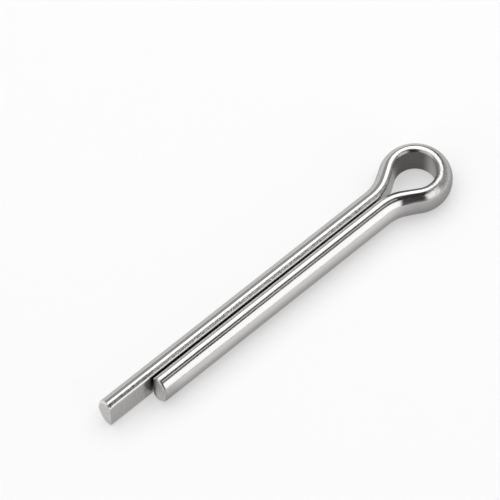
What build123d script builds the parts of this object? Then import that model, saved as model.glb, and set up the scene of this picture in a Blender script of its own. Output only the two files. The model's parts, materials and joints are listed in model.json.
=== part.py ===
from build123d import *
import math
import os

# A split pin: one length of half-round wire bent double, flat inside, into a teardrop eye and two straight legs.
# The pin lies on its side. X runs along the shank towards the eye, Y across the legs towards the longer one,
# and Z is up, out of the plane of the bend. The origin is on the shank's axis, where the necks start to spread.
# Lengths are in millimetres and angles in degrees.

# Shank: the two legs lie in one round of this diameter, with a fine slit between their flats
shank_diameter = 7.4
leg_gap = 0.25
edge_radius = 0.9

# Legs, measured from the start of the necks to their sheared tips
short_leg_length = 56.0
long_leg_lead = 10.2
tip_bevel_depth = 0.45
tip_bevel_length = 0.6

# Necks and eye: the bend stretches the wire, so it is thinner round the eye than along the legs
neck_radius = 9.5
neck_angle = 33.0
eye_bore_radius = 4.05
eye_wire_thickness = 3.0
neck_station_shares = (0, 0.25, 0.5, 0.75, 1)

# How far a cutting shape reaches past what it cuts
overrun = 1.0

shank_radius = shank_diameter / 2
half_gap = leg_gap / 2
leg_wire_thickness = shank_radius - half_gap
long_leg_length = short_leg_length + long_leg_lead
# Height of the centre of the rolled edges over the middle of the wire
edge_centre_height = math.sqrt((shank_radius - edge_radius) ** 2 - (edge_radius + half_gap) ** 2)


def wire_section(thickness):
    """Half-round outline of the wire: X leads away from the flat, and two rolled edges run into the crown."""
    inner = thickness - edge_radius
    crown_radius = (inner**2 + edge_centre_height**2 - edge_radius**2) / (2 * (inner - edge_radius))
    crown_centre = thickness - crown_radius
    crown_angle = math.degrees(math.atan2(edge_centre_height, edge_radius - crown_centre))
    edge_sweep = 180 - crown_angle
    flat = Line((0, -edge_centre_height), (0, edge_centre_height))
    upper_edge = CenterArc((edge_radius, edge_centre_height), edge_radius, crown_angle, edge_sweep)
    crown = CenterArc((crown_centre, 0), crown_radius, -crown_angle, 2 * crown_angle)
    lower_edge = CenterArc((edge_radius, -edge_centre_height), edge_radius, 180, edge_sweep)
    return make_face(flat + upper_edge + crown + lower_edge)


def neck_line():
    """The flat's line in plan from the leg to the eye: an arc outwards, then a straight run tangent to the bore."""
    spread = math.radians(neck_angle)
    bend = CenterArc((0, half_gap + neck_radius), neck_radius, -90, neck_angle)
    start = bend @ 1
    run = (eye_bore_radius * math.cos(spread) - start.Y) / math.sin(spread)
    return bend + Line(start, start + run * Vector(math.cos(spread), math.sin(spread)))


def station(line, share):
    """Plane across the wire at a share of the line: X outwards from the flat, Y up."""
    along = line % share
    return Plane(origin=line @ share, x_dir=Vector(0, 0, 1).cross(along), z_dir=along)


def neck(line):
    """The spreading stretch of wire, thinned smoothly from the leg to the eye."""
    sections = []
    for share in neck_station_shares:
        eased = share * share * (3 - 2 * share)
        thickness = leg_wire_thickness + (eye_wire_thickness - leg_wire_thickness) * eased
        sections.append(station(line, share) * wire_section(thickness))
    return sweep(sections, path=line, multisection=True)


def eye(line):
    """The turned end: the wire's section carried round the bore, from one neck to the other."""
    end = line @ 1
    centre_x = end.X + eye_bore_radius * math.sin(math.radians(neck_angle))
    turn_axis = Axis((centre_x, 0, 0), (0, 0, -1))
    return revolve(station(line, 1) * wire_section(eye_wire_thickness), turn_axis, 180 + 2 * neck_angle)


def tip_bevel(tip_x):
    """Ring that breaks the round edge of a sheared tip and leaves the flat's edge square."""
    slope = tip_bevel_depth / tip_bevel_length
    outside = shank_radius + overrun * slope
    inside = shank_radius - tip_bevel_depth - overrun * slope
    first_x = tip_x - overrun
    last_x = tip_x + tip_bevel_length + overrun
    return revolve(make_face(Polyline((first_x, inside), (last_x, outside), (first_x, outside), close=True)), Axis.X)


def leg(line, length):
    """A straight leg from the neck to its sheared tip."""
    bar = extrude(station(line, 0) * wire_section(leg_wire_thickness), -length)
    return bar - tip_bevel(-length)


def split_pin():
    """The whole bent wire as one solid."""
    line = neck_line()
    far_half = leg(line, long_leg_length) + neck(line)
    near_half = mirror(leg(line, short_leg_length) + neck(line), Plane.XZ)
    return far_half + eye(line) + near_half


os.makedirs("parts", exist_ok=True)
export_step(split_pin(), "parts/split_pin.step")
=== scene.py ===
# %% [markdown]
# # A split pin in bright steel
# A split pin is the simplest of fasteners: one length of half-round wire, bent double. This lesson loads its measured
# solid as a frame, draws the same wire again as a fine mesh that can carry sharp reflections, gives it the surface of
# drawn stainless steel, and sets it under soft lamps as on a photographer's table.

# %% Load the measured pin
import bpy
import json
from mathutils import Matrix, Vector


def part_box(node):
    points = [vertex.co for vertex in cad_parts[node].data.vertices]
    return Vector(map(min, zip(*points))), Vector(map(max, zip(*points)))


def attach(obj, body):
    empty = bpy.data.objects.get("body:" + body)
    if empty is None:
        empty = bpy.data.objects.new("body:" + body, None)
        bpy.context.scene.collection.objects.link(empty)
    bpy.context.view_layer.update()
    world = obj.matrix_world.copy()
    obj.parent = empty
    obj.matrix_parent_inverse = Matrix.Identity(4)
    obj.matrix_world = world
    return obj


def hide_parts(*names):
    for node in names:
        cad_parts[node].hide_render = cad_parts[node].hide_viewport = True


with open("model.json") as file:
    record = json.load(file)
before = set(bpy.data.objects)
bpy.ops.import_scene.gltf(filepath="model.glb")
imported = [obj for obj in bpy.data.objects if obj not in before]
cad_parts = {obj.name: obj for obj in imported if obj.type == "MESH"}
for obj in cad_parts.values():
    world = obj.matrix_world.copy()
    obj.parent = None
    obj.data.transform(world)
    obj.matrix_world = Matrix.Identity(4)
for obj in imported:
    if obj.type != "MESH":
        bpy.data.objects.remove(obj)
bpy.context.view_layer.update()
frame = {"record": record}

# %% [markdown]
# The frame knows the sizes that matter to a user: the round that the two legs fill, the inside of the eye, and the box
# round the whole pin. The rest are the sizes that a wire bender would note down. Everything is in metres, because the
# frame is, so a millimetre gets a name of its own.

# %% Sizes of the pin
import json
import math
import bmesh
import bpy
from mathutils import Matrix, Vector

MM = 0.001
mounts = {mount["name"]: mount for mount in frame["record"]["mounts"]}
low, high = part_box("split_pin")
SHANK_RADIUS = mounts["shank"]["dims"]["r_mm"] * MM
EYE_RADIUS = mounts["eye"]["dims"]["r_mm"] * MM
EYE_CENTRE_X = mounts["eye"]["pos_m"][0]
EYE_THICKNESS = high.x - EYE_CENTRE_X - EYE_RADIUS
LONG_LEG = -low.x
SHORT_LEG = 56 * MM
HALF_GAP = 0.125 * MM
NECK_RADIUS = 9.5 * MM
NECK_ANGLE = math.radians(33)
LEG_THICKNESS = SHANK_RADIUS - HALF_GAP
print("eye wire", EYE_THICKNESS / MM, "mm thick, leg wire", LEG_THICKNESS / MM, "mm thick")

# %% [markdown]
# The wire's section is a flat, a round crown and two worn edges between them. Each edge is a small arc off the flat, a
# narrow facet that the rolls have rubbed, and a wider arc into the crown. It could be a half circle with its corners
# beveled, but a bevel gets no longer than the short edges of the round beside it. A single corner that is spun and
# extruded on, arc by arc, leaves exact arcs that run into each other. Two helpers do just that.

# %% Pen for the outline
ALONG = Vector((1, 0, 0))


def spin_on(mesh, tip, y, z, angle, steps):
    """Spins one vertex about a centre in the plane of the section and returns the last vertex of the arc."""
    made = bmesh.ops.spin(mesh, geom=[tip], cent=(0, y, z), axis=ALONG, angle=-angle, steps=steps)
    return next(item for item in made["geom_last"] if isinstance(item, bmesh.types.BMVert))


def draw_on(mesh, tip, y, z):
    """Extrudes one vertex in the plane of the section and returns the new one."""
    made = bmesh.ops.extrude_vert_indiv(mesh, verts=[tip])
    bmesh.ops.translate(mesh, verts=made["verts"], vec=(0, y, z))
    return made["verts"][0]


print("pen draws across the direction", tuple(ALONG))

# %% [markdown]
# The pen starts at the top of the flat and goes once round the section. Where the arcs meet follows from two rules:
# they have to be tangent, and the crown has to lie on the round that the two legs share. The flat is drawn last, in
# steps that are short near its edges, so that its shading stays flat between them.

# %% Outline of the half-round wire
ARC_STEPS = 10
TOP_STEPS = 15
CROWN_STEPS = 44
FLAT_STEPS = (0.02, 0.04, 0.14, 0.3, 0.3, 0.14, 0.04)


def outline(inner_arc, facet_width, outer_arc, facet_lean):
    """A closed half-round outline with its flat in the plane of X and Z."""
    mesh = bmesh.new()
    facet = Vector((math.cos(facet_lean), math.sin(facet_lean))) * facet_width
    top_y = HALF_GAP + inner_arc + (outer_arc - inner_arc) * math.sin(facet_lean) + facet.x
    crown_lean = math.asin(top_y / (SHANK_RADIUS - outer_arc))
    top_z = (SHANK_RADIUS - outer_arc) * math.cos(crown_lean)
    flat_z = top_z + (outer_arc - inner_arc) * math.cos(facet_lean) - facet.y
    inner_sweep = math.pi / 2 - facet_lean
    first = mesh.verts.new((0, HALF_GAP, flat_z))
    last = spin_on(mesh, first, HALF_GAP + inner_arc, flat_z, inner_sweep, ARC_STEPS)
    last = draw_on(mesh, last, facet.x, facet.y)
    last = spin_on(mesh, last, top_y, top_z, facet_lean + crown_lean, TOP_STEPS)
    last = spin_on(mesh, last, 0, 0, math.pi - 2 * crown_lean, CROWN_STEPS)
    last = spin_on(mesh, last, top_y, -top_z, facet_lean + crown_lean, TOP_STEPS)
    last = draw_on(mesh, last, -facet.x, facet.y)
    last = spin_on(mesh, last, HALF_GAP + inner_arc, -flat_z, inner_sweep, ARC_STEPS)
    for share in FLAT_STEPS:
        last = draw_on(mesh, last, 0, share * 2 * flat_z)
    mesh.edges.new((last, first))
    bmesh.ops.translate(mesh, vec=(0, -HALF_GAP, 0), verts=mesh.verts[:])
    print("outline of", len(mesh.edges), "edges with a flat of", 2 * flat_z / MM, "mm")
    return mesh


wire = outline(inner_arc=0.6 * MM, facet_width=0.48 * MM, outer_arc=0.7 * MM, facet_lean=math.radians(34))
wire_top = max(vert.co.z for vert in wire.verts)
print("wire", 2 * wire_top / MM, "mm high")

# %% [markdown]
# A tight bend squeezes the inside of the wire: round the eye its inner edges are sharper and its top is flatter. So the
# outline is drawn a second time, and each point of the first one keeps the way to its place on the second in a layer.
# Another layer remembers where each point lies while the wire is still straight: the finish will follow it round the
# bend.

# %% Squeezed outline of the eye
straight = wire.verts.layers.float_vector.new("straight_wire")
squeeze = wire.verts.layers.float_vector.new("squeeze")
eye_outline = outline(inner_arc=0.2 * MM, facet_width=0.35 * MM, outer_arc=1.1 * MM, facet_lean=math.radians(40))
for vert, squeezed in zip(wire.verts, eye_outline.verts):
    vert[straight] = vert.co
    vert[squeeze] = squeezed.co - vert.co
eye_outline.free()
print("edges move by up to", max(vert[squeeze].length for vert in wire.verts) / MM, "mm")

# %% [markdown]
# The legs of a bent pin spring open by a hair when they leave the machine. The gap could be opened afterwards, with a
# bend of the finished mesh, but it is simpler to start right: the outline is set at the tip of the long leg, turned by
# that hair and a little off the axis, on the line that meets the neck's first arc.

# %% Start at the tip of the long leg
LONG_SPREAD = math.radians(0.1)
SHORT_SPREAD = math.radians(0.04)
long_run = (LONG_LEG - NECK_RADIUS * math.sin(LONG_SPREAD)) / math.cos(LONG_SPREAD)
short_run = (SHORT_LEG - NECK_RADIUS * math.sin(SHORT_SPREAD)) / math.cos(SHORT_SPREAD)
bend_x = -NECK_RADIUS * math.sin(LONG_SPREAD)
bend_y = HALF_GAP + NECK_RADIUS * (1 - math.cos(LONG_SPREAD))
leg_line = Matrix.Translation((bend_x, bend_y, 0)) @ Matrix.Rotation(-LONG_SPREAD, 4, "Z")
station = leg_line @ Matrix.Translation((-long_run, 0, 0))
bmesh.ops.transform(wire, matrix=station, verts=wire.verts[:])
ring = list(wire.edges)
rows = [list(wire.verts)]
travelled = 0.0
print("first row of", len(rows[0]), "points at", station.translation / MM, "mm")

# %% [markdown]
# A bending machine does two things only: it feeds the wire forward, and it turns it about a peg beside the wire. The
# mesh is made in the same way. The outline's edges are extruded, and the new ring is moved by one feed or one turn that
# is written in the wire's own frame, with X forward, Y out of the flat and Z up. The operators take that frame as their
# space. Where the bend works the metal, the ring is also scaled towards the flat and squeezed.

# %% Feed and turn
def feed(length):
    """A straight step forward."""
    return Matrix.Translation((length, 0, 0))


def turn(radius, angle):
    """A turn about a peg on the crown's side, or on the flat's side where the radius is negative."""
    peg = Matrix.Translation((0, radius, 0))
    return peg @ Matrix.Rotation(math.copysign(angle, radius), 4, "Z") @ peg.inverted()


def thickness(worked):
    """Thickness of the wire at a share of the way from the leg to the eye."""
    return LEG_THICKNESS + (EYE_THICKNESS - LEG_THICKNESS) * worked


def carry(step, length, before=0.0, after=0.0):
    """Extrudes the open end of the wire by one step, between two shares of the way from the leg to the eye."""
    global station, ring, travelled
    made = bmesh.ops.extrude_edge_only(wire, edges=ring)["geom"]
    row = [item for item in made if isinstance(item, bmesh.types.BMVert)]
    ring = [item for item in made if isinstance(item, bmesh.types.BMEdge) and item.is_boundary]
    bmesh.ops.transform(wire, matrix=step, space=station.inverted(), verts=row)
    station = station @ step
    thinner = (1, thickness(after) / thickness(before), 1)
    bmesh.ops.scale(wire, vec=thinner, space=station.inverted(), verts=row)
    thinned = Matrix.Diagonal((1, thickness(after) / LEG_THICKNESS, 1)) * (after - before)
    travelled += length
    for vert in row:
        vert.co += station.to_3x3() @ thinned @ vert[squeeze]
        vert[straight].x = travelled
    rows.append(row)


print("wire thins from", thickness(0) / MM, "to", thickness(1) / MM, "mm")

# %% [markdown]
# Each leg ends in a few close rows, which will be rolled over later, as a shear does. The neck is an arc and a straight
# run that meets the eye. It could be worked evenly from one end to the other, but then a reflection would show a kink
# where the wire starts to stretch. So the share is eased, slowly at both ends.

# %% Steps for the tips and the necks
TIP_STEPS = 10
TIP_ROLL_LENGTH = 0.65 * MM
NECK_STEPS = 30
RUN_STEPS = 18
tip_angles = [step * math.pi / 2 / TIP_STEPS for step in range(TIP_STEPS + 1)]
tip_marks = [TIP_ROLL_LENGTH * (1 - math.cos(angle)) for angle in tip_angles]
tip_feeds = [after - before for before, after in zip(tip_marks, tip_marks[1:])]
spread_y = HALF_GAP + NECK_RADIUS * (1 - math.cos(NECK_ANGLE))
run_length = (EYE_RADIUS * math.cos(NECK_ANGLE) - spread_y) / math.sin(NECK_ANGLE)


def eased(share):
    """A share that starts and ends slowly."""
    return share * share * (3 - 2 * share)


def neck_steps(spread):
    """The steps from a leg to the eye: the move, its length, and the shares of the way before and after it."""
    bend = (NECK_ANGLE + spread) / NECK_STEPS
    run = run_length / RUN_STEPS
    moves = [(turn(NECK_RADIUS, bend), NECK_RADIUS * bend)] * NECK_STEPS + [(feed(run), run)] * RUN_STEPS
    whole = sum(length for _, length in moves)
    steps = []
    done = 0.0
    for move, length in moves:
        steps.append((move, length, eased(done / whole), eased(min((done + length) / whole, 1))))
        done += length
    return steps


print("straight run of", run_length / MM, "mm from the neck's arc to the eye")

# %% [markdown]
# Now the wire is run through the machine, from the tip of the long leg to the tip of the short one: leg, neck, eye,
# neck, leg. A leg is straight, so a few long steps do, while the eye gets many, because its reflections run right round
# it. The way travelled is noted at each change, for the finish.

# %% Run the wire through the bends
EYE_STEPS = 110
EYE_ANGLE = math.pi + 2 * NECK_ANGLE
LEG_REST_SHARES = (0.5, 0.45, 0.05)
for length in tip_feeds:
    carry(feed(length), length)
for share in LEG_REST_SHARES:
    carry(feed(share * (long_run - TIP_ROLL_LENGTH)), share * (long_run - TIP_ROLL_LENGTH))
leg_end = travelled
for move, length, before, after in neck_steps(LONG_SPREAD):
    carry(move, length, before, after)
eye_start = travelled
for _ in range(EYE_STEPS):
    carry(turn(-EYE_RADIUS, EYE_ANGLE / EYE_STEPS), EYE_RADIUS * EYE_ANGLE / EYE_STEPS, 1.0, 1.0)
eye_end = travelled
for move, length, before, after in reversed(neck_steps(SHORT_SPREAD)):
    carry(move, length, after, before)
leg_start = travelled
for share in reversed(LEG_REST_SHARES):
    carry(feed(share * (short_run - TIP_ROLL_LENGTH)), share * (short_run - TIP_ROLL_LENGTH))
for length in reversed(tip_feeds):
    carry(feed(length), length)
print("wire of", travelled / MM, "mm in", len(rows), "rows, ends at", station.translation / MM, "mm")

# %% [markdown]
# A shear drags the edge over where its blade goes in, on top, while the edges below and beside the flat stay square. A
# bevel would break all of them alike. The last rows of each leg are therefore drawn in along their normals, row by row
# on a quarter of an ellipse, and less and less towards the flat and the underside.

# %% Rolled tips
TIP_ROLL_DEPTH = 0.45 * MM
UNDERSIDE_SHARE = 0.3
ROLL_FREE = 0.2 * MM
bmesh.ops.recalc_face_normals(wire, faces=wire.faces[:])
wire.normal_update()
for angle, row in list(zip(tip_angles, rows)) + list(zip(tip_angles, reversed(rows))):
    for vert in row:
        clear_of_flat = eased(min(vert[straight].y / ROLL_FREE, 1))
        height = (1 + vert[straight].z / wire_top) / 2
        depth = TIP_ROLL_DEPTH * (UNDERSIDE_SHARE + (1 - UNDERSIDE_SHARE) * height) * clear_of_flat
        vert.co -= vert.normal * depth * (1 - math.sin(angle))
print("rolled", 2 * len(tip_angles), "rows over", TIP_ROLL_LENGTH / MM, "mm")

# %% [markdown]
# The shear leaves a flat face on each leg. The open ends are filled with one face each, which will have a finish of its
# own, and the edge round it is marked sharp, so that its shading doesn't run into the crown's. Then the mesh becomes an
# object that rides on the pin's only body and stands in for the measured solid.

# %% Sheared faces
BRIGHT_WIRE = 0
SHEARED_FACE = 1
for face in wire.faces:
    face.material_index = BRIGHT_WIRE
    face.smooth = True
rims = [edge for edge in wire.edges if edge.is_boundary]
caps = bmesh.ops.edgeloop_fill(wire, edges=rims, mat_nr=SHEARED_FACE, use_smooth=False)["faces"]
for edge in rims:
    edge.smooth = False
bmesh.ops.recalc_face_normals(wire, faces=wire.faces[:])
pin_mesh = bpy.data.meshes.new("split_pin_wire")
wire.to_mesh(pin_mesh)
wire.free()
pin = bpy.data.objects.new("split_pin_wire", pin_mesh)
bpy.context.scene.collection.objects.link(pin)
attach(pin, "root")
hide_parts("split_pin")
print(len(pin_mesh.polygons), "faces,", len(caps), "sheared faces")

# %% [markdown]
# A material is a small graph of nodes. It could be wired up by hand in the shader editor, but a script can be run again
# after each change. Two helpers keep the graphs readable: one starts a material with a Principled shader, and one adds
# a node with its settings and links.

# %% Start a material
def new_material(name):
    """An empty node material with a Principled shader, returned with its node tree and shader."""
    material = bpy.data.materials.new(name)
    material.use_nodes = True
    tree = material.node_tree
    tree.nodes.clear()
    shader = tree.nodes.new("ShaderNodeBsdfPrincipled")
    output = tree.nodes.new("ShaderNodeOutputMaterial")
    tree.links.new(shader.outputs["BSDF"], output.inputs["Surface"])
    return material, tree, shader


def add(tree, kind, settings=None, **inputs):
    """Adds a node with its own settings. An input is called by its label, or by an underscore and its number.

    Each input is a number, a tuple or another node's socket.
    """
    node = tree.nodes.new(kind)
    for name, value in (settings or {}).items():
        setattr(node, name, value)
    for name, value in inputs.items():
        socket = node.inputs[int(name[1:])] if name[0] == "_" else node.inputs[name.replace("_", " ")]
        if isinstance(value, bpy.types.NodeSocket):
            tree.links.new(value, socket)
        else:
            socket.default_value = value
    return node


steel, steel_tree, steel_shader = new_material("bright_drawn_steel")
pin_mesh.materials.append(steel)
print(steel.name, "in slot", BRIGHT_WIRE)

# %% [markdown]
# A finish is calculated from values: one is eased from one range to another, two are multiplied or added, and two
# colours are mixed by a share. Each of these is one node, and each helper finds the graph that its first socket belongs
# to. Without them every line would spell out its node, its links and its sockets.

# %% Calculate in the graph
def ease(value, start, end, low_out=0.0, high_out=1.0):
    """A smooth step of a value from one range to another."""
    node = add(value.id_data, "ShaderNodeMapRange", {"interpolation_type": "SMOOTHSTEP"}, Value=value,
               From_Min=start, From_Max=end, To_Min=low_out, To_Max=high_out)
    return node.outputs["Result"]


def work(operation, one, other):
    """One step of arithmetic on two values."""
    return add(one.id_data, "ShaderNodeMath", {"operation": operation}, _0=one, _1=other).outputs["Value"]


def times(one, other):
    """Product of two values."""
    return work("MULTIPLY", one, other)


def plus(one, other):
    """Sum of two values."""
    return work("ADD", one, other)


def blend(share, first, second):
    """Mix of two colours by a share."""
    return add(share.id_data, "ShaderNodeMix", {"data_type": "RGBA"}, _0=share, _6=first, _7=second).outputs[2]


print("helpers for values and colours ready")

# %% [markdown]
# Drawn stainless wire is bright on its crown, where the die has burnished it, and dull on its flat, which only the
# rolls have touched. The edge between the two is rubbed. The lower side is written darker as painted shade: it stands
# in for the pin's shadow on the paper, which the crown would reflect. This could be painted on an unwrapped mesh, but
# all of it goes by the place on the straight wire. So the layer that the vertices carry is read in the material, and
# eased into masks that are sharp at any distance.

# %% Masks across the wire
FLAT_RANGE = (0.03 * MM, 0.005 * MM)
FACET_INNER_RANGE = (0.2 * MM, 0.28 * MM)
FACET_OUTER_RANGE = (1.0 * MM, 0.7 * MM)
UNDERSIDE_SHADE_RANGE = (1.8 * MM, 0.2 * MM)
wire_place = add(steel_tree, "ShaderNodeAttribute", {"attribute_name": "straight_wire"}).outputs["Vector"]
along, outward, upward = add(steel_tree, "ShaderNodeSeparateXYZ", Vector=wire_place).outputs
flat_mask = ease(outward, *FLAT_RANGE)
facet_mask = times(ease(outward, *FACET_INNER_RANGE), ease(outward, *FACET_OUTER_RANGE))
# Painted shade: the lower side of the wire is darkened in the colour, as if in shadow.
painted_underside_shade_mask = ease(upward, *UNDERSIDE_SHADE_RANGE)
print("masks for the flat, the rubbed edges and the underside")

# %% [markdown]
# Along the legs the finish changes with what was done to them. The rubbed edge shows on the long leg only, and it is
# darkest on the open end, past the short leg. Both ends are dull where the shear has dragged metal over, and the long
# one is bright. The flat in the slit, and in the corner where the short leg ends, is written dark as painted shade. A
# mask for each of these could be painted too, but the wire's own length says it all.

# %% Masks along the legs
SLIT_SHADE_HEIGHT_RANGE = (-1.3 * MM, 0.2 * MM)
SLIT_SHADE_BELOW = 0.35


def stretch(rise_from, rise_to, fall_from, fall_to):
    """A mask that eases in over one piece of the wire and out over another."""
    return times(ease(along, rise_from, rise_to), ease(along, fall_to, fall_from))


lead = LONG_LEG - SHORT_LEG
open_mask = ease(along, lead + 2 * MM, lead - 1 * MM)
rubbed_mask = times(facet_mask, ease(along, eye_start + 4 * MM, eye_start))
long_tip_mask = ease(along, TIP_ROLL_LENGTH, 0)
short_tip_mask = ease(along, travelled - TIP_ROLL_LENGTH, travelled)
short_end_mask = ease(along, travelled - 5 * MM, travelled - 1 * MM)
slit_mask = stretch(lead - 2.5 * MM, lead - 1.1 * MM, leg_end - 2 * MM, leg_end)
# Painted shade: the long leg's flat in the slit and in the corner by the short tip, darkened as if in shadow.
slit_shade_mask = times(slit_mask, ease(upward, *SLIT_SHADE_HEIGHT_RANGE, SLIT_SHADE_BELOW, 1.0))
print("open end of", lead / MM, "mm")

# %% [markdown]
# The bend leaves a mark of its own: outside the eye the metal was stretched most, and its grains rise as a faint orange
# peel. The dark tone of that grain is partly painted shade. Inside the eye the flat, and a little of the edges beside
# it, are written dark as painted shade in the eye's hollow. The lower side of the necks, the eye and the short end is
# written darker as painted shade too.

# %% Masks round the bend
EYE_EDGE_SHADE_RANGE = (0.82 * MM, 0.62 * MM)
NECK_UNDERSIDE_SHADE_RANGE = (2.5 * MM, 1.5 * MM)
SHORT_END_SHARE = 0.7
eye_length = eye_end - eye_start
neck_mask = stretch(leg_end, eye_start, eye_end, leg_start)
# Painted shade: where the flat lies inside the eye's hollow.
eye_hollow_shade_mask = stretch(eye_start - 1 * MM, eye_start + 1.5 * MM, eye_start + 6.6 * MM, eye_start + 9.2 * MM)
# Painted shade on the edges beside the flat inside the eye.
eye_edge_shade_mask = times(eye_hollow_shade_mask, ease(outward, *EYE_EDGE_SHADE_RANGE))
peel_start = eye_start + 0.3 * eye_length
peel_full = eye_start + 0.5 * eye_length
peel_mask = stretch(peel_start, peel_full, eye_end - 0.15 * eye_length, eye_end)
neck_and_short_end_mask = plus(neck_mask, times(short_end_mask, SHORT_END_SHARE))
# Painted shade: the lower side of the necks, the eye and the short end is darkened further.
painted_neck_underside_shade_mask = times(neck_and_short_end_mask, ease(upward, *NECK_UNDERSIDE_SHADE_RANGE))
print("eye of", eye_length / MM, "mm of wire")

# %% [markdown]
# Three patterns make the surface. Lines from the die run along the wire: noise that is stretched by squeezing the other
# two axes. The orange peel is an even, soft noise, and the rubbed edge has a rougher one. A scale counts the waves in a
# metre. A photograph of steel would bring its own light along, while noise stays a surface and takes the light that is
# there.

# %% Patterns of the steel
DIE_LINE_SCALE = (55, 4200, 4200)
PEEL_SCALE = 5500.0
WEAR_SCALE = (2600, 4200, 4200)


def noise(place, scale, detail, roughness):
    """An even noise where the scale is one number, and a stretched one where it is three."""
    if isinstance(scale, tuple):
        place = add(place.id_data, "ShaderNodeMapping", Vector=place, Scale=scale).outputs["Vector"]
        scale = 1.0
    node = add(place.id_data, "ShaderNodeTexNoise", Vector=place, Scale=scale, Detail=detail, Roughness=roughness)
    return node.outputs["Fac"]


die_lines = noise(wire_place, DIE_LINE_SCALE, detail=3.0, roughness=0.6)
peel = noise(wire_place, PEEL_SCALE, detail=1.0, roughness=0.5)
wear = noise(wire_place, WEAR_SCALE, detail=4.0, roughness=0.65)
print("patterns of the die, the peel and the wear")

# %% [markdown]
# The colour of a metal is the share of light that it sends back. Burnished steel sends back well over half of it, and
# the fresh metal at the long end the most. The underside is written much darker, as painted shade. Each mask lays one
# of these colours over the one before.

# %% Colour of the crown
BURNISHED_DIM = (0.55, 0.54, 0.535, 1)
BURNISHED_BRIGHT = (0.61, 0.6, 0.595, 1)
PEEL_GRAIN_AND_SHADE = (0.38, 0.37, 0.365, 1)
PAINTED_UNDERSIDE_SHADE = (0.29, 0.283, 0.28, 1)
PAINTED_NECK_UNDERSIDE_SHADE = (0.25, 0.242, 0.242, 1)
FRESH_METAL = (0.85, 0.84, 0.835, 1)
UNDERSIDE_SHADE_COVER = 0.6
LINE_RANGE = (0.3, 0.7)
GRAIN_RANGE = (0.35, 0.65)
burnished = blend(ease(die_lines, *LINE_RANGE), BURNISHED_DIM, BURNISHED_BRIGHT)
# The peel's grain is a real pattern, but its dark tone is also painted shade on the outside of the eye.
burnished = blend(times(peel_mask, ease(peel, *GRAIN_RANGE)), burnished, PEEL_GRAIN_AND_SHADE)
# Painted shade on the underside, then more painted shade on the underside of the necks, the eye and the short end.
burnished = blend(times(painted_underside_shade_mask, UNDERSIDE_SHADE_COVER), burnished, PAINTED_UNDERSIDE_SHADE)
burnished = blend(times(painted_neck_underside_shade_mask, UNDERSIDE_SHADE_COVER), burnished, PAINTED_NECK_UNDERSIDE_SHADE)
burnished = blend(long_tip_mask, burnished, FRESH_METAL)
print("crown coloured with", len(steel_tree.nodes), "nodes so far")

# %% [markdown]
# The rubbed edge is a mixture of bright specks and dark ones, with more contrast on the open end. The flat, as it left
# the rolls, has the same grain in quieter tones. Next to them, the painted shade inside the eye and in the slit sends
# hardly any light back.

# %% Colour of the edges and the flat
RUBBED_DARK = (0.34, 0.33, 0.327, 1)
RUBBED_BRIGHT = (0.62, 0.607, 0.602, 1)
OPEN_END_DARK = (0.12, 0.116, 0.115, 1)
OPEN_END_BRIGHT = (0.5, 0.487, 0.482, 1)
ROLLED_DARK = (0.37, 0.358, 0.355, 1)
ROLLED_BRIGHT = (0.54, 0.526, 0.521, 1)
NECK_FLAT = (0.5, 0.485, 0.48, 1)
PAINTED_EYE_SHADE = (0.13, 0.122, 0.12, 1)
PAINTED_SLIT_SHADE = (0.08, 0.077, 0.075, 1)
SLIT_SHADE_COVER = 0.7
worn = ease(wear, *GRAIN_RANGE)
open_end = blend(worn, OPEN_END_DARK, OPEN_END_BRIGHT)
rubbed = blend(open_mask, blend(worn, RUBBED_DARK, RUBBED_BRIGHT), open_end)
rolled = blend(worn, ROLLED_DARK, ROLLED_BRIGHT)
rolled = blend(neck_mask, rolled, NECK_FLAT)
# Painted shade darkens the flat inside the eye.
rolled = blend(eye_hollow_shade_mask, rolled, PAINTED_EYE_SHADE)
# Painted shade darkens the flat in the slit.
rolled = blend(times(slit_shade_mask, SLIT_SHADE_COVER), rolled, PAINTED_SLIT_SHADE)
print("edges and flat coloured with", len(steel_tree.nodes), "nodes so far")

# %% [markdown]
# The three surfaces are laid over each other from the crown inwards, and the result is the metal's colour. A metal
# usually turns white at a grazing angle. Drawn wire is too fine-lined for that, so its tint there is held back.

# %% Colour of the whole wire
EYE_EDGE_SHADE_COVER = 0.6
GRAZING_TINT = 0.7
colour = blend(rubbed_mask, burnished, rubbed)
# Painted shade darkens the edges beside the flat inside the eye.
colour = blend(times(eye_edge_shade_mask, EYE_EDGE_SHADE_COVER), colour, PAINTED_EYE_SHADE)
colour = blend(flat_mask, colour, rolled)
steel_tree.links.new(colour, steel_shader.inputs["Base Color"])
steel_shader.inputs["Metallic"].default_value = 1
steel_shader.inputs["Specular Tint"].default_value = (GRAZING_TINT, GRAZING_TINT, GRAZING_TINT, 1)
print("colours with", len(steel_tree.nodes), "nodes")

# %% [markdown]
# Roughness blurs a reflection. The crown stays nearly a mirror along the legs. The flat, the peel and the sides of the
# bend are a little duller, then come the edges that the bend has squeezed, and the rolled ends are dullest. One
# roughness for all would be simpler, but the eye would then look as hard and new as the legs.

# %% Dullness of the steel
DULL_LINE_RANGE = (0.25, 0.75)
CROWN_ROUGHNESS = (0.1, 0.17)
BENT_SIDE_RANGE = (3.3 * MM, 2.9 * MM)
bent_side = times(neck_mask, ease(upward, *BENT_SIDE_RANGE))
squeezed_edge = times(facet_mask, neck_mask)
both_tips = plus(long_tip_mask, short_tip_mask)
added_roughness = (
    (bent_side, 0.07),
    (peel_mask, 0.05),
    (flat_mask, 0.05),
    (squeezed_edge, 0.1),
    (both_tips, 0.3),
)
roughness = ease(die_lines, *DULL_LINE_RANGE, *CROWN_ROUGHNESS)
for mask, duller in added_roughness:
    roughness = plus(roughness, times(mask, duller))
steel_tree.links.new(roughness, steel_shader.inputs["Roughness"])
print("crown roughness", CROWN_ROUGHNESS, "and", len(added_roughness), "duller places")

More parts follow.
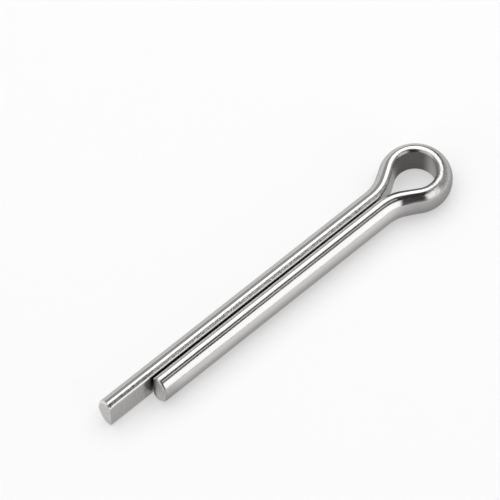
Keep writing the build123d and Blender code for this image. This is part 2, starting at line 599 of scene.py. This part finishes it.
# %% [markdown]
# A bump bends a reflection. It is only a few thousandths of a millimetre high, far too little to model, but enough to
# break the reflection in the rubbed edge into specks. Each pattern rises only where its mask lets it.

# %% Relief of the steel
RELIEF_UNIT = 0.006 * MM
DIE_LINE_HEIGHT = 0.25
relief = times(die_lines, DIE_LINE_HEIGHT)
for pattern, mask, height in ((peel, peel_mask, 4.0), (wear, rubbed_mask, 8.0), (wear, flat_mask, 1.2)):
    relief = plus(relief, times(times(pattern, mask), height))
bump = add(steel_tree, "ShaderNodeBump", Strength=1.0, Distance=RELIEF_UNIT, Height=relief)
steel_tree.links.new(bump.outputs["Normal"], steel_shader.inputs["Normal"])
print("bright drawn steel with", len(steel_tree.nodes), "nodes")

# %% [markdown]
# The shear leaves a torn face: fine scores across it, from the flat to the crown, over a dull grain. The scores are a
# noise stretched along Y, in plain Object coordinates, because both faces look straight along the shank. Colour,
# roughness and bump all follow the same torn pattern, as they do on a real fracture.

# %% Sheared steel
SCORE_SCALE = (900, 350, 3800)
GRAIN_SCALE = 2600.0
TORN_SHARE = 0.6
TORN_RANGE = (0.4, 0.8)
TORN_DARK = (0.42, 0.41, 0.4, 1)
TORN_BRIGHT = (0.74, 0.73, 0.72, 1)
TORN_ROUGHNESS = (0.45, 0.6)
TORN_UNIT = 0.025 * MM
sheared, sheared_tree, sheared_shader = new_material("sheared_steel")
pin_mesh.materials.append(sheared)
position = add(sheared_tree, "ShaderNodeTexCoord").outputs["Object"]
scores = noise(position, SCORE_SCALE, detail=4.0, roughness=0.65)
grain = noise(position, GRAIN_SCALE, detail=3.0, roughness=0.6)
torn = plus(times(scores, TORN_SHARE), times(grain, TORN_SHARE))
torn_colour = blend(ease(torn, *TORN_RANGE), TORN_DARK, TORN_BRIGHT)
sheared_tree.links.new(ease(torn, *TORN_RANGE, *TORN_ROUGHNESS), sheared_shader.inputs["Roughness"])
torn_bump = add(sheared_tree, "ShaderNodeBump", Strength=1.0, Distance=TORN_UNIT, Height=torn)
sheared_tree.links.new(torn_bump.outputs["Normal"], sheared_shader.inputs["Normal"])
sheared_shader.inputs["Metallic"].default_value = 1
print(sheared.name, "in slot", SHEARED_FACE)

# %% [markdown]
# The painted shade in the corner beside the long leg goes onto the short leg's face as well. Y tells how far a place on
# that face is from the slit, and it is negative there and positive on the long leg. So the shade is eased in by Y, and
# cut off in the middle of the slit.

# %% Painted shade on the short leg's face
CORNER_RANGE = (-1.2 * MM, -0.2 * MM)
SLIT_RANGE = (0.05 * MM, -0.05 * MM)
PAINTED_CORNER_SHADE = (0.06, 0.057, 0.055, 1)
CORNER_SHADE_COVER = 0.85
across = add(sheared_tree, "ShaderNodeSeparateXYZ", Vector=position).outputs["Y"]
# Painted shade: the short face is darkened towards the slit, as if in the corner's shadow.
corner_shade_mask = times(ease(across, *CORNER_RANGE), ease(across, *SLIT_RANGE))
torn_colour = blend(times(corner_shade_mask, CORNER_SHADE_COVER), torn_colour, PAINTED_CORNER_SHADE)
sheared_tree.links.new(torn_colour, sheared_shader.inputs["Base Color"])
print("sheared steel with", len(sheared_tree.nodes), "nodes")

# %% [markdown]
# The pin lies on its side on plain white paper, as it would come to rest. The paper is large, because bright metal
# shows its far edge as a horizon. Its roughness is that of smooth, uncoated paper.

# %% Paper under the pin
PAPER_RADIUS = 3.0
PAPER_SEGMENTS = 96
PAPER_GREY = 0.42
PAPER_ROUGHNESS = 0.65
sheet = bmesh.new()
bmesh.ops.create_circle(sheet, cap_ends=True, segments=PAPER_SEGMENTS, radius=PAPER_RADIUS)
bmesh.ops.translate(sheet, vec=(0, 0, -wire_top), verts=sheet.verts[:])
floor_mesh = bpy.data.meshes.new("paper_floor")
sheet.to_mesh(floor_mesh)
sheet.free()
floor = bpy.data.objects.new("paper_floor", floor_mesh)
bpy.context.scene.collection.objects.link(floor)
paper, paper_tree, paper_shader = new_material("white_paper")
floor_mesh.materials.append(paper)
paper_shader.inputs["Base Color"].default_value = (PAPER_GREY, PAPER_GREY, PAPER_GREY, 1)
paper_shader.inputs["Roughness"].default_value = PAPER_ROUGHNESS
print("paper at", -wire_top / MM, "mm")

# %% [markdown]
# More light would make the paper white, but would bleach the steel as well. So the paper is a middle grey that takes
# the shadow, and the light path adds an even share of white for each ray that looks at it, straight from the camera or
# by way of a reflection. It lights nothing, so it needn't be sampled as a lamp.

# %% White of the paper
WHITE_SHARE = 0.45
paper_shader.inputs["Emission Color"].default_value = (WHITE_SHARE, WHITE_SHARE, WHITE_SHARE, 1)
paper.cycles.emission_sampling = "NONE"
path = add(paper_tree, "ShaderNodeLightPath").outputs
seen = path["Is Camera Ray"]
for kind in ("Is Glossy Ray", "Is Transmission Ray"):
    seen = work("MAXIMUM", seen, path[kind])
paper_tree.links.new(seen, paper_shader.inputs["Emission Strength"])
print("white share", WHITE_SHARE)

# %% [markdown]
# What we see in bright metal is the studio. Two soft boxes hang over the pin and draw the broad white band along the
# top of both legs. One stands in front and whitens the side of the near leg. It ends a little to the left of the eye,
# so the near neck, which turns away from it, goes dark. One at the left lights the sheared faces. The narrow dark space
# between the front and the overhead boxes, with a thin strip of light in it, becomes the pair of dark lines along the
# near leg. Each lamp's power follows from its size and from the brightness that a mirror would show.

# %% Soft boxes
def soft_box(name, stand, aim, width, height, brightness):
    """A rectangular area lamp that looks at a point."""
    lamp = bpy.data.lights.new(name, "AREA")
    lamp.shape = "RECTANGLE"
    lamp.size = width
    lamp.size_y = height
    lamp.energy = brightness * math.pi * width * height
    box = bpy.data.objects.new(name, lamp)
    box.location = stand
    box.rotation_euler = (Vector(aim) - Vector(stand)).to_track_quat("-Z", "Y").to_euler()
    box.visible_camera = False
    bpy.context.scene.collection.objects.link(box)
    print(name, "of", lamp.energy, "W")


soft_box("overhead_rear_box", (0.15, 0.32, 0.5), (0.15, 0.32, 0), width=1.0, height=0.37, brightness=1.75)
soft_box("overhead_box", (0.15, -0.055, 0.5), (0.15, -0.055, 0), width=1.0, height=0.37, brightness=1.6)
soft_box("left_box", (-0.65, 0.0, 0.36), (0, 0, 0), width=0.63, height=0.5, brightness=0.95)
soft_box("front_box", (0.116, -0.58, 0.22), (0, 0, 0.1), width=0.468, height=0.42, brightness=1.66)
soft_box("gap_strip", (0.45, -0.406, 0.502), (0.45, 0, 0), width=0.9, height=0.06, brightness=0.95)

# %% [markdown]
# The rest of the studio is the world: a plain grey all round, with two dark gaps between the boxes. The gap in front,
# where the photographer stands, makes the dark lines and the dark neck. The gap behind, to the right, draws a fine dark
# line round the outside of the eye. Each gap is a direction, and the dot product tells how near a ray comes to it.

# %% Studio round the table
WALL_GREY = 0.45
FRONT_GAP = (-0.15, -0.853, 0.5)
FRONT_RANGE = (0.68, 0.78)
FRONT_GREY = 0.03
REAR_GAP = (0.785, 0.453, 0.423)
REAR_RANGE = (0.86, 0.95)
REAR_SHARE = 0.25
world = bpy.data.worlds.new("studio")
bpy.context.scene.world = world
world.use_nodes = True
room = world.node_tree
backdrop = next(node for node in room.nodes if node.type == "BACKGROUND")
ray = add(room, "ShaderNodeTexCoord").outputs["Generated"]


def towards(gap):
    """How near a ray comes to a gap's direction."""
    return add(room, "ShaderNodeVectorMath", {"operation": "DOT_PRODUCT"}, _0=ray, _1=gap).outputs["Value"]


front = ease(towards(FRONT_GAP), *FRONT_RANGE, WALL_GREY, FRONT_GREY)
rear = ease(towards(REAR_GAP), *REAR_RANGE, 1.0, REAR_SHARE)
room.links.new(times(front, rear), backdrop.inputs["Strength"])
backdrop.inputs["Color"].default_value = (1, 1, 1, 1)
print("studio with", len(room.nodes), "nodes")

# %% [markdown]
# The photograph looks steeply down on the pin, which runs away to the upper right. It shows hardly any perspective, so
# the camera is far off and its lens is long. A turn and an elevation give its three axes.

# %% Camera
IMAGE = 500
TURN = math.radians(43.12)
ELEVATION = math.radians(57.5)
PIXELS_PER_METRE = 5366.5
DISTANCE = 1.3144
SENSOR_WIDTH = 36
NEAREST = 0.05
FARTHEST = 50
level = math.cos(ELEVATION)
right = Vector((math.cos(TURN), -math.sin(TURN), 0))
forward = Vector((math.sin(TURN) * level, math.cos(TURN) * level, -math.sin(ELEVATION)))
up = right.cross(forward)
lens = bpy.data.cameras.new("camera")
lens.sensor_width = SENSOR_WIDTH
lens.lens = SENSOR_WIDTH * PIXELS_PER_METRE * DISTANCE / IMAGE
lens.clip_start = NEAREST
lens.clip_end = FARTHEST
camera = bpy.data.objects.new("camera", lens)
bpy.context.scene.collection.objects.link(camera)
bpy.context.scene.camera = camera
print("lens", lens.lens, "mm")

# %% [markdown]
# The camera stands straight before the point where the necks start, and is then swung until that point is at its place
# in the picture. Shifting the lens would move the picture too, but swinging keeps the lens plain.

# %% Place in the picture
NECK_START_PIXEL = (375.82, 209.6)
across_picture = right * (IMAGE / 2 - NECK_START_PIXEL[0])
up_picture = up * (IMAGE / 2 - NECK_START_PIXEL[1])
middle = (across_picture - up_picture) / PIXELS_PER_METRE
camera.location = -forward * DISTANCE
upright = Matrix((right, up, -forward)).transposed()
swing = forward.rotation_difference(middle - camera.location).to_matrix()
camera.rotation_euler = (swing @ upright).to_euler()
bpy.context.scene.view_settings.view_transform = "Standard"
print("camera at", camera.location, "looks at", middle / MM, "mm")
